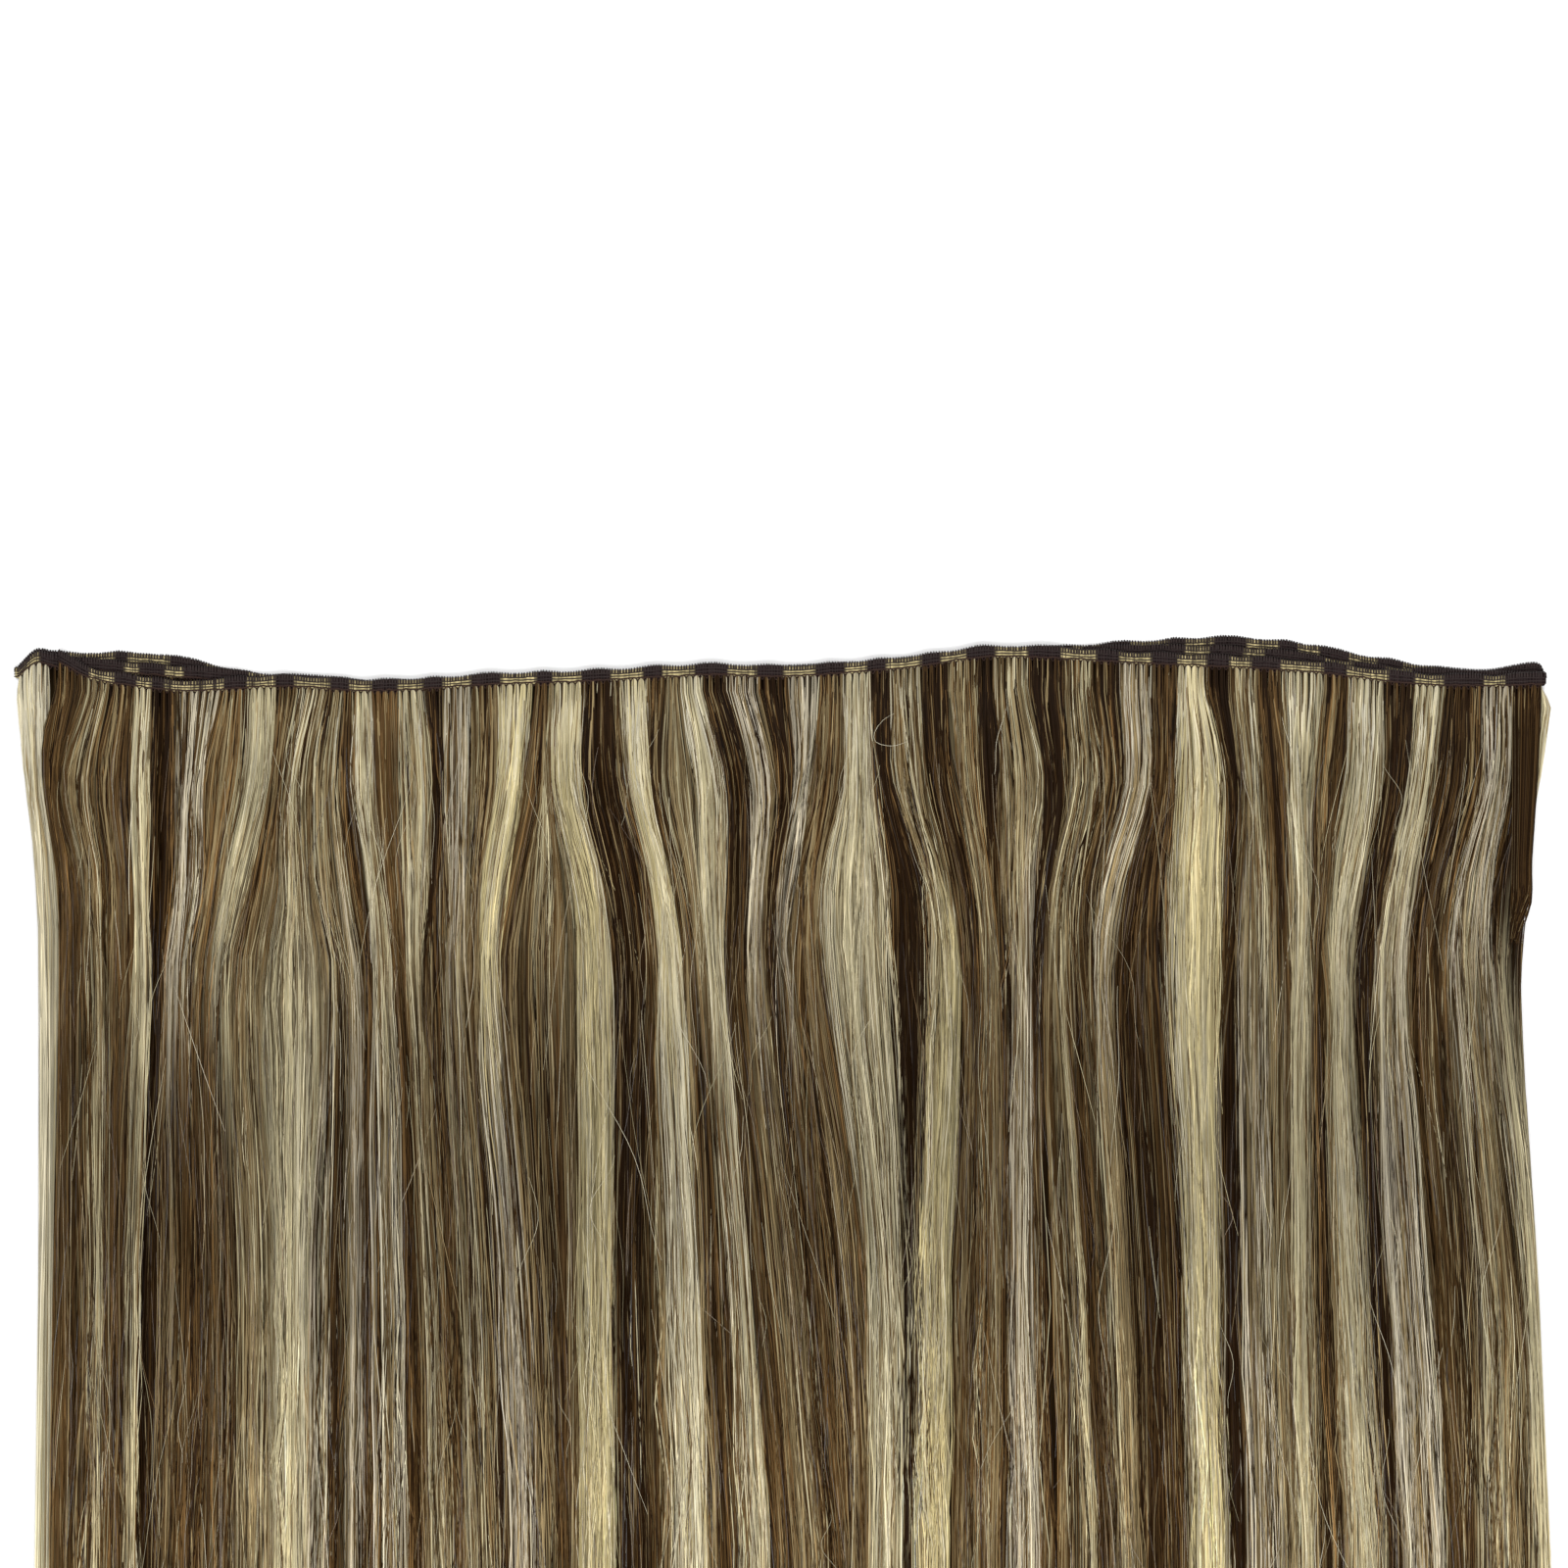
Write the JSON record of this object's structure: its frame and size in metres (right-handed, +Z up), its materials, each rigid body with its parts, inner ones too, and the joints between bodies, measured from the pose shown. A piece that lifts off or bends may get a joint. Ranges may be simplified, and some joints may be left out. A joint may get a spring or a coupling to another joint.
{
  "type": "hair weft",
  "caption": "Machine-sewn hair weft in streaked brown and blonde, folded back and forth and laid flat: straight hair falls in locks from a stitched band.",
  "frame": {"origin": "middle of the base, on the surface it lies on", "axes": "+X along the band, +Y from the hair tips to the band, +Z up from the surface"},
  "size_m": [0.3992, 0.4206, 0.008],
  "materials": {
    "thread": "matt sewing thread over hair roots",
    "hair": "satin straight hair in cream, gold, ash, caramel and dark brown locks"
  },
  "bodies": {
    "root": {"weft_band": "thread", "hair_front": "hair", "hair_middle": "hair", "hair_rear": "hair"}
  },
  "joints": []
}
